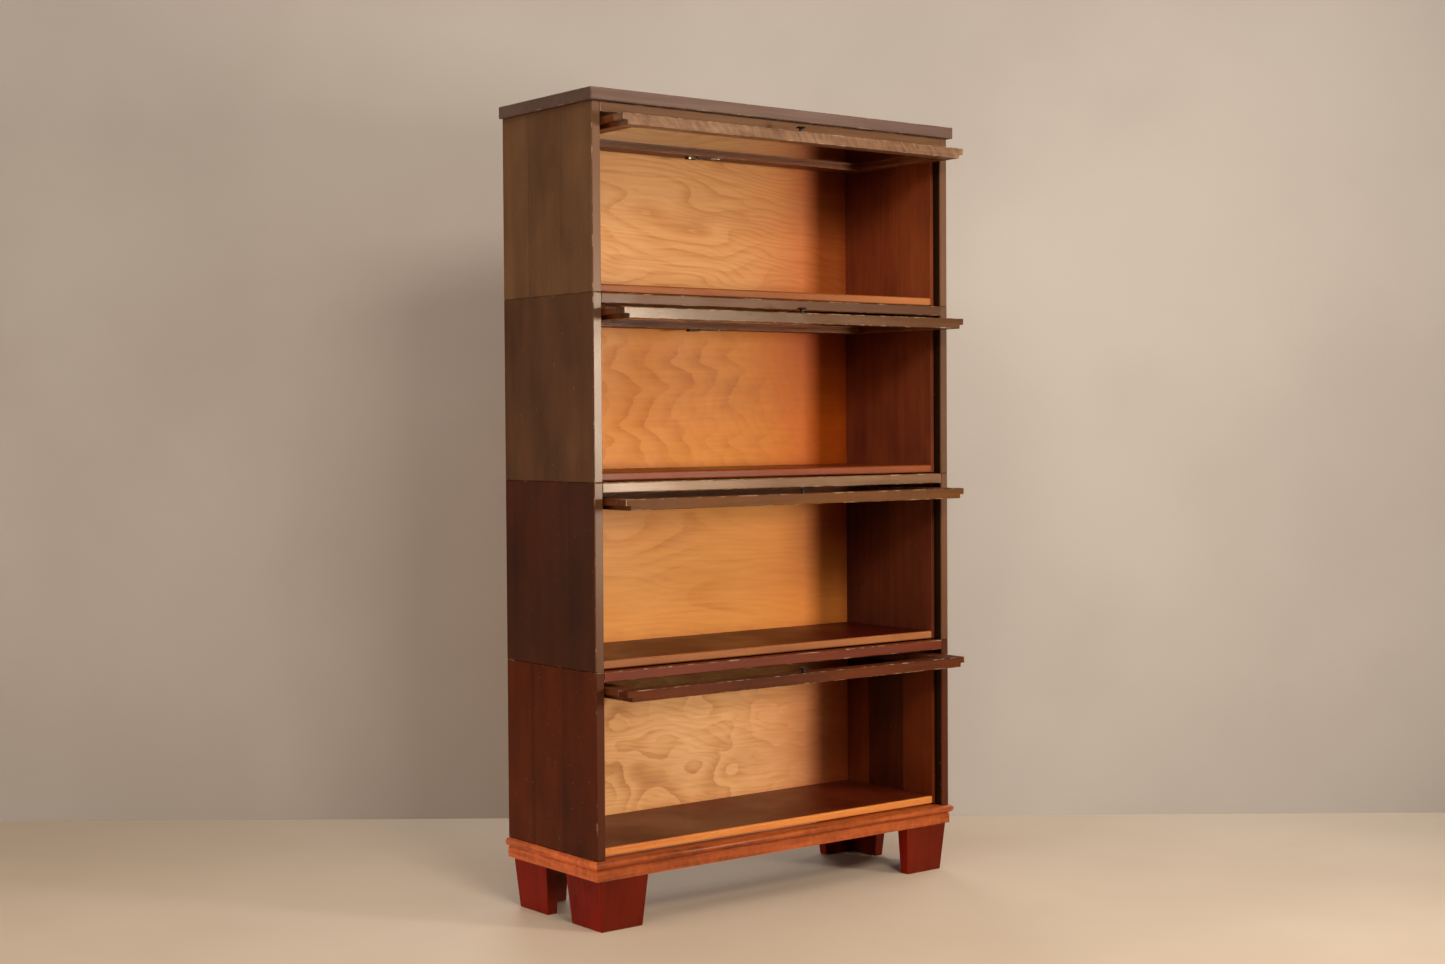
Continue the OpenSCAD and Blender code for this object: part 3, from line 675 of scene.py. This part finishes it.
dress("cap", dark_rail("cap_varnish", "cap", "X", CAP, 11, tone=0.5, gloss=(0.3, 0.42), wear=0.4))
for n in range(1, 5):
    for side, extra in (("left", 3), ("right", 17)):
        node = f"section_{n}_{side}_side"
        dress(node, case_side(
            f"side_{n}_{side}_varnish", node, SIDE[n], INNER[n], FRONT_EDGE[n], 100 * n + extra, BOARDS[n],
            INNER_BOARDS[n], EDGE_SHEEN[n], SIDE_IOR[n]))

    node = f"section_{n}_front_rail"
    dress(node, dark_rail(
        f"rail_{n}_varnish", node, "X", RAIL[n], 100 * n + 41, gloss=RAIL_GLOSS[n], wear=0.65))
    node = f"section_{n}_back_panel"
    dress(node, back_panel(
        f"panel_{n}_varnish", node, PANEL[n], 100 * n + 51, RINGS[n], FINE_RINGS[n], CORNER[n],
        PANEL_WARMTH[n]))
    node = f"section_{n}_shelf"
    dress(node, shelf_board(f"shelf_{n}_varnish", node, SHELF[n], LIP[n], 100 * n + 61, LIP_RUBBED[n]))

    dull = n in DULL_DOORS
    node = f"door_{n}_bottom_rail"
    dress(node, dark_rail(
        f"{node}_varnish", node, "X", DOOR[n], 100 * n + 81, curl=DOOR_CURL[n], slant=DOOR_SLANT[n],
        gloss=DOOR_GLOSS[n], dull=dull))
    for part, grain, extra in (("top_rail", "X", 78), ("left_stile", "Y", 80), ("right_stile", "Y", 81)):
        node = f"door_{n}_{part}"
        dress(node, dark_rail(
            f"{node}_varnish", node, grain, DOOR_FRAME, 100 * n + extra, curl=0.2, gloss=(0.4, 0.5),
            wear=0.25, dull=dull))

glass_look = glass()
steel_look = steel()
knob_look = dark_metal()
for n in range(1, 5):
    dress(f"door_{n}_glass", glass_look)
    dress(f"door_{n}_knob", knob_look)
    dress(f"door_{n}_fittings", steel_look)

# the side mouldings take colours brighter than the front's, partly painted light
for side, grain, palette, seed in (
    ("front", "X", BASE_FRONT, 600), ("left", "Y", BASE_SIDE_PAINTED_LIGHT, 610), ("right", "Y", BASE_SIDE_PAINTED_LIGHT, 620),
):
    node = f"base_{side}_moulding"
    dress(node, moulding(f"{node}_varnish", node, grain, seed, palette))
dress("base_rear_rail", dark_rail("rear_rail_varnish", "base_rear_rail", "X", RAIL[4], 640, wear=0.4))
for index, node in enumerate(sorted(name for name in nodes if name.startswith("foot_"))):
    dress(node, foot(f"{node}_varnish", node, 700 + 10 * index))
dress("locating_dowels", dowel_wood())


# ---------------------------------------------------------------- softened edges


# Width by a word in the node's name; the first that fits counts
SOFT_EDGE = {
    "cap": 0.0012,
    "glass": 0.0004,
    "knob": 0.0003,
    "fittings": 0.0003,
    "foot": 0.0016,
    "panel": 0.0004,
}
OTHER_SOFT_EDGE = 0.0009
WELD_DISTANCE = 0.00001
SOFTENED_FROM = 35  # an edge is softened if the surface turns by more degrees than this

for name, piece in nodes.items():
    weld = piece.modifiers.new("Join", "WELD")
    weld.merge_threshold = WELD_DISTANCE
    bevel = piece.modifiers.new("Soft edges", "BEVEL")
    bevel.width = next((width for word, width in SOFT_EDGE.items() if word in name), OTHER_SOFT_EDGE)
    bevel.segments = 2
    bevel.limit_method = "ANGLE"
    bevel.angle_limit = math.radians(SOFTENED_FROM)
    bevel.harden_normals = True


# ---------------------------------------------------------------- camera


YAW = 38.159  # degrees from straight ahead (+Y) towards +X
PITCH = -1.6276
ROLL = -0.3607
EYE = Vector((-2.496, -3.104, 0.9044))
SENSOR_WIDTH = 36.0  # mm
LENS = 51.422699  # mm

yaw = math.radians(YAW)
pitch = math.radians(PITCH)
roll = math.radians(ROLL)
ahead = Vector((math.sin(yaw), math.cos(yaw), 0))
forward = Vector((math.sin(yaw) * math.cos(pitch), math.cos(yaw) * math.cos(pitch), math.sin(pitch)))
level = forward.cross(Vector((0, 0, 1))).normalized()
upright = level.cross(forward)
right = level * math.cos(roll) + upright * math.sin(roll)
up = upright * math.cos(roll) - level * math.sin(roll)

camera = bpy.data.objects.new("Camera", bpy.data.cameras.new("Camera"))
camera.data.sensor_width = SENSOR_WIDTH
camera.data.lens = LENS
camera.data.clip_end = 100
camera.matrix_world = Matrix((
    (right.x, up.x, -forward.x, EYE.x),
    (right.y, up.y, -forward.y, EYE.y),
    (right.z, up.z, -forward.z, EYE.z),
    (0, 0, 0, 1),
))
scene.collection.objects.link(camera)
scene.camera = camera


# ---------------------------------------------------------------- studio


def sheet_of(name, points, material):
    """A flat four-cornered stage piece."""
    mesh = bpy.data.meshes.new(name)
    mesh.from_pydata(points, [], [(0, 1, 2, 3)])
    mesh.update()
    piece = bpy.data.objects.new(name, mesh)
    scene.collection.objects.link(piece)
    piece.data.materials.append(material)
    return piece


def matte(name, light, dark, scale, roughness, one_sided=False):
    """Softly clouded paint. A one-sided sheet is clear from behind, so it hides nothing in other views."""
    shader = Shader(name)
    cloud = shader.noise(shader.stretch(scale, offset_of(5)), detail=4.0)
    color = shader.mix(shader.remap(cloud, 0.3, 0.7), linear(light), linear(dark))
    surface = shader.principled(color, roughness, cloud, depth=0.001, strength=0.1)
    if one_sided:
        back = shader.add("ShaderNodeNewGeometry").outputs["Backfacing"]
        clear = shader.add("ShaderNodeBsdfTransparent").outputs[0]
        surface = shader.add("ShaderNodeMixShader", {0: back, 1: surface, 2: clear}).outputs[0]
    return shader.done(surface)


FLOOR_HALF = 30.0
WALL_AWAY = 4.72  # from the camera
WALL_HALF = 14
WALL_HEIGHT = 9

sheet_of(
    "Floor",
    [(FLOOR_HALF * a, FLOOR_HALF * b, 0) for a, b in ((-1, -1), (1, -1), (1, 1), (-1, 1))],
    matte("floor_paint", "dcc7b0", "d2bca4", 1.5, 0.65),
)
foot_of_wall = Vector((EYE.x, EYE.y, 0)) + ahead * WALL_AWAY
wall_side = Vector((level.x, level.y, 0)) * WALL_HALF
wall_top = Vector((0, 0, WALL_HEIGHT))
wall = sheet_of(
    "Backdrop",
    [
        foot_of_wall - wall_side,
        foot_of_wall + wall_side,
        foot_of_wall + wall_side + wall_top,
        foot_of_wall - wall_side + wall_top,
    ],
    matte("backdrop_paint", "bfb8b2", "b4aca6", 1.2, 0.8, one_sided=True),
)
wall.visible_shadow = False
wall.visible_diffuse = False
wall.visible_glossy = False

ROOM_LIGHT = (1.0, 0.92, 0.82, 1)
ROOM_STRENGTH = 0.12
ROOM_SEEN = (0.46, 0.41, 0.36, 1)  # what shows beyond the floor in other views

world = bpy.data.worlds.new("Studio")
scene.world = world
world.use_nodes = True
air = world.node_tree.nodes
glow = air["Background"]
glow.inputs["Color"].default_value = ROOM_LIGHT
glow.inputs["Strength"].default_value = ROOM_STRENGTH
seen = air.new("ShaderNodeBackground")
seen.inputs["Color"].default_value = ROOM_SEEN
choice = air.new("ShaderNodeMixShader")
world.node_tree.links.new(air.new("ShaderNodeLightPath").outputs["Is Camera Ray"], choice.inputs[0])
world.node_tree.links.new(glow.outputs[0], choice.inputs[1])
world.node_tree.links.new(seen.outputs[0], choice.inputs[2])
world.node_tree.links.new(choice.outputs[0], air["World Output"].inputs["Surface"])


def softbox(name, place, aim, size, power, color, spread=180):
    """A rectangular light at place, turned to aim. size is width and height, spread is in degrees."""
    lamp = bpy.data.lights.new(name, "AREA")
    lamp.shape = "RECTANGLE"
    lamp.size = size[0]
    lamp.size_y = size[1]
    lamp.energy = power
    lamp.color = color
    lamp.spread = math.radians(spread)
    holder = bpy.data.objects.new(name, lamp)
    holder.location = place
    holder.rotation_mode = "QUATERNION"
    holder.rotation_quaternion = (Vector(aim) - Vector(place)).to_track_quat("-Z", "Y")
    scene.collection.objects.link(holder)


softbox("Key", (1.46, -3.0, 0.98), (0.0, 0.0, 1.0), (0.52, 0.62), 17.5, (1.0, 0.91, 0.8), spread=82)
softbox("High_fill", (-1.1, -3.3, 2.45), (0.1, 0.1, 0.7), (1.1, 0.7), 62, (1.0, 0.9, 0.78))
softbox("Side_fill", (-3.4, 1.1, 0.9), (-0.4, 0.1, 0.6), (1.8, 1.2), 28, (1.0, 0.88, 0.74))
softbox("Right_fill", (3.4, 1.2, 1.2), (0.4, 0.1, 0.7), (1.6, 1.4), 6.5, (1.0, 0.92, 0.82), spread=90)
softbox("Rear_fill", (1.7, 3.2, 1.9), (0.1, 0.3, 0.8), (1.6, 1.2), 7.5, (1.0, 0.93, 0.84), spread=90)
softbox("Ceiling", (-0.8, -1.6, 3.6), (-0.8, -1.6, 0.0), (3.4, 3.0), 62, (1.0, 0.92, 0.82))

scene.view_settings.view_transform = "Standard"
